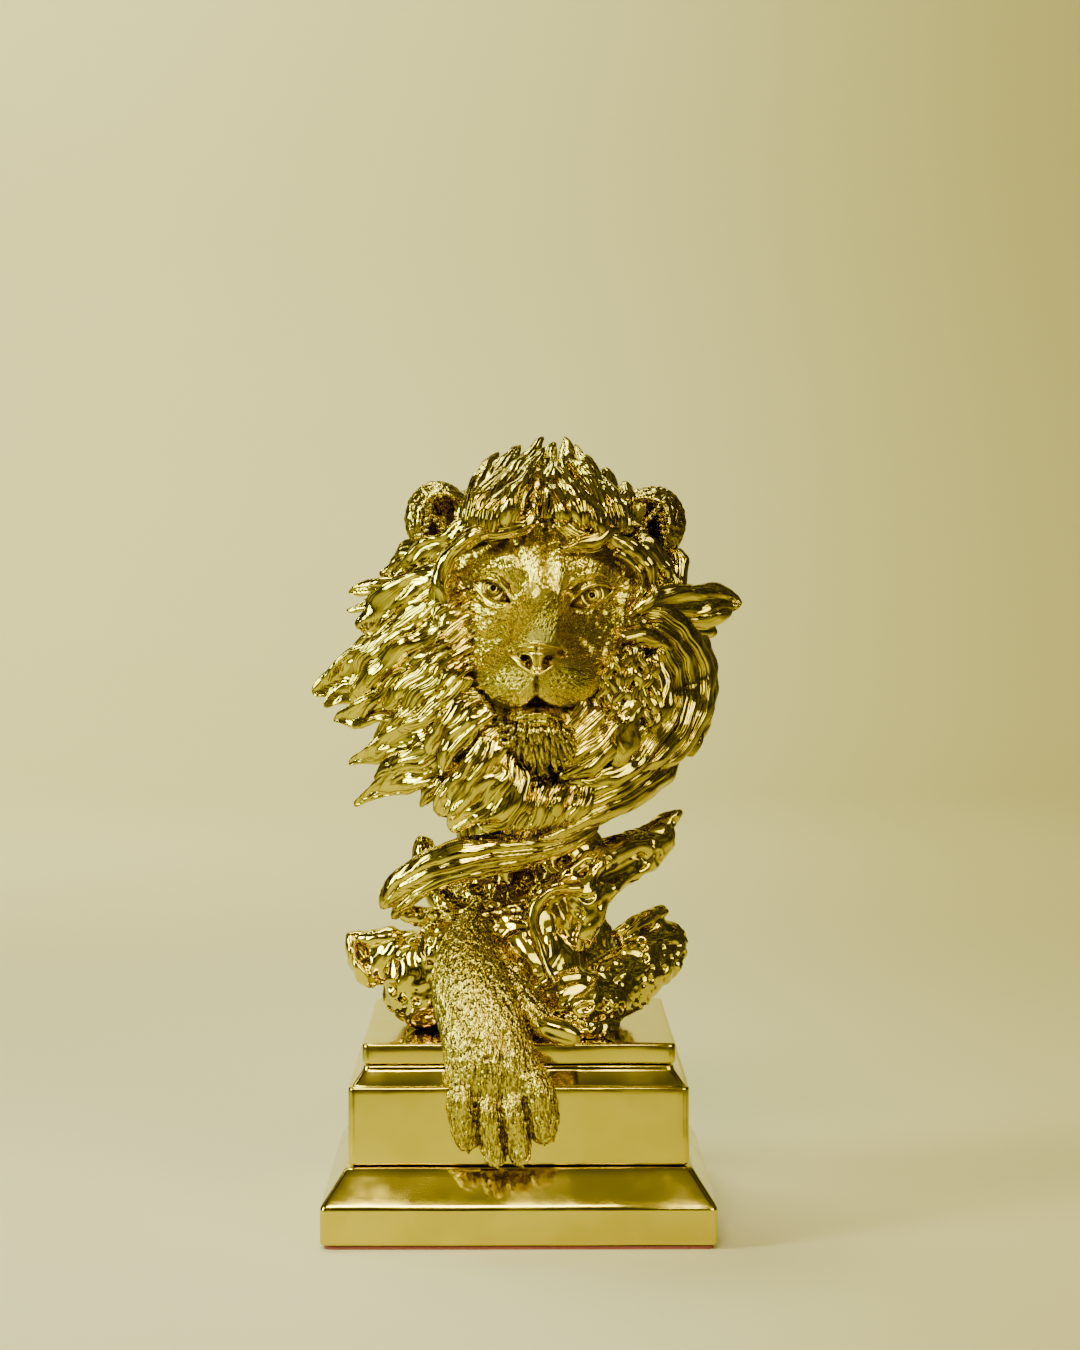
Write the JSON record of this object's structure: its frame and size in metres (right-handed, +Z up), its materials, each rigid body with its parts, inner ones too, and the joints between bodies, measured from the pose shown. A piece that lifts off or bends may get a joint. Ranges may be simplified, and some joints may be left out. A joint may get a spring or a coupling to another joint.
{
  "type": "lion figure trophy",
  "caption": "Gold lion's head and forepaw with a swept, grooved mane, rising from pitted rock on a stepped square plinth.",
  "frame": {"origin": "middle of the underside of the felt under the plinth, which is where the trophy stands", "axes": "+Z up along the tie rod through the middle of the square plinth; the lion looks along -Y; +X is to the right of someone who faces the lion"},
  "size_m": [0.1972, 0.19, 0.3617],
  "materials": {
    "gold_plate": "cast resin with a bright gold metallised plating, polished on the plinth, nose, claws and locks and finely textured in the fur and on the rock",
    "steel": "zinc plated",
    "iron": "as cast",
    "board": "bare fibreboard",
    "felt": "dark red-brown felt"
  },
  "bodies": {
    "root": {"tie_rod": "steel", "rod_nut": "steel", "rod_washer": "steel", "neck_insert": "steel", "rock_dowel_left": "steel", "rock_dowel_right": "steel", "head_pin": "steel", "board_screw_front_left": "steel", "board_screw_front_right": "steel", "board_screw_back_left": "steel", "board_screw_back_right": "steel", "base_felt": "felt", "closing_board": "board", "ballast_plate": "iron", "plinth_foot": "gold_plate", "plinth_block": "gold_plate", "plinth_cap": "gold_plate", "foreleg": "gold_plate", "dewclaw": "gold_plate", "neck_column": "gold_plate", "head": "gold_plate", "lower_jaw": "gold_plate", "ear_left": "gold_plate", "ear_right": "gold_plate", "neck_sash": "gold_plate", "crown_tuft": "gold_plate", "crown_back": "gold_plate", "mane_brow_left": "gold_plate", "mane_brow_right": "gold_plate", "mane_left_upper": "gold_plate", "mane_left_middle": "gold_plate", "mane_left_lower": "gold_plate", "mane_chest_left": "gold_plate", "mane_throat": "gold_plate", "mane_right_horn": "gold_plate", "mane_right_cheek": "gold_plate", "mane_right_outer": "gold_plate", "mane_right_crescent": "gold_plate", "mane_nape": "gold_plate", "mane_back_left": "gold_plate", "mane_back_right": "gold_plate", "rock_limb_upper": "gold_plate", "rock_limb_lower": "gold_plate", "rock_knob": "gold_plate", "rock_base": "gold_plate"}
  },
  "joints": []
}
